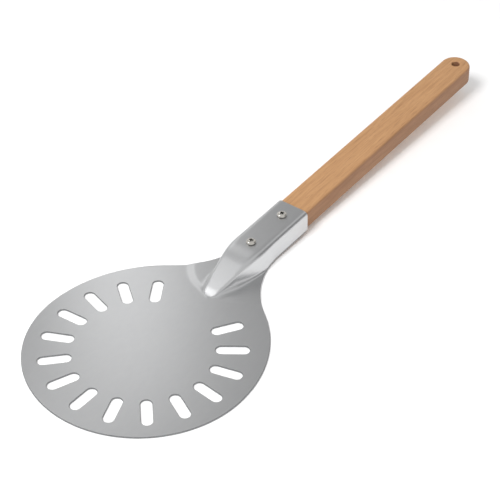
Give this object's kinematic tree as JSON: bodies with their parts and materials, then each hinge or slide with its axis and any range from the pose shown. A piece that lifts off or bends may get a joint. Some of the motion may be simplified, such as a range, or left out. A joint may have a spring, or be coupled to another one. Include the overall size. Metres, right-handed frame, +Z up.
{
  "type": "pizza peel",
  "caption": "Round perforated turning peel: pressed aluminium blade with a ridged neck and open-bottomed socket, rectangular hardwood handle held by machine screws.",
  "frame": {"origin": "centre of the round blade, on its underside", "axes": "+X from the blade along the handle to its end, +Z up out of the blade's upper face, +Y to the left when looking along +X"},
  "size_m": [0.6057, 0.2032, 0.0384],
  "materials": {
    "sheet_aluminium": "satin sheet, judged from its look",
    "hardwood": "straight-grained reddish-tan hardwood, species not known",
    "plated_steel": "bright plated pan heads, judged from their look",
    "insert_brass": "turned brass, guessed: the inserts aren't seen"
  },
  "bodies": {
    "root": {"blade_and_socket": "sheet_aluminium", "handle": "hardwood", "front_screw": "plated_steel", "rear_screw": "plated_steel", "front_insert": "insert_brass", "rear_insert": "insert_brass"}
  },
  "joints": []
}
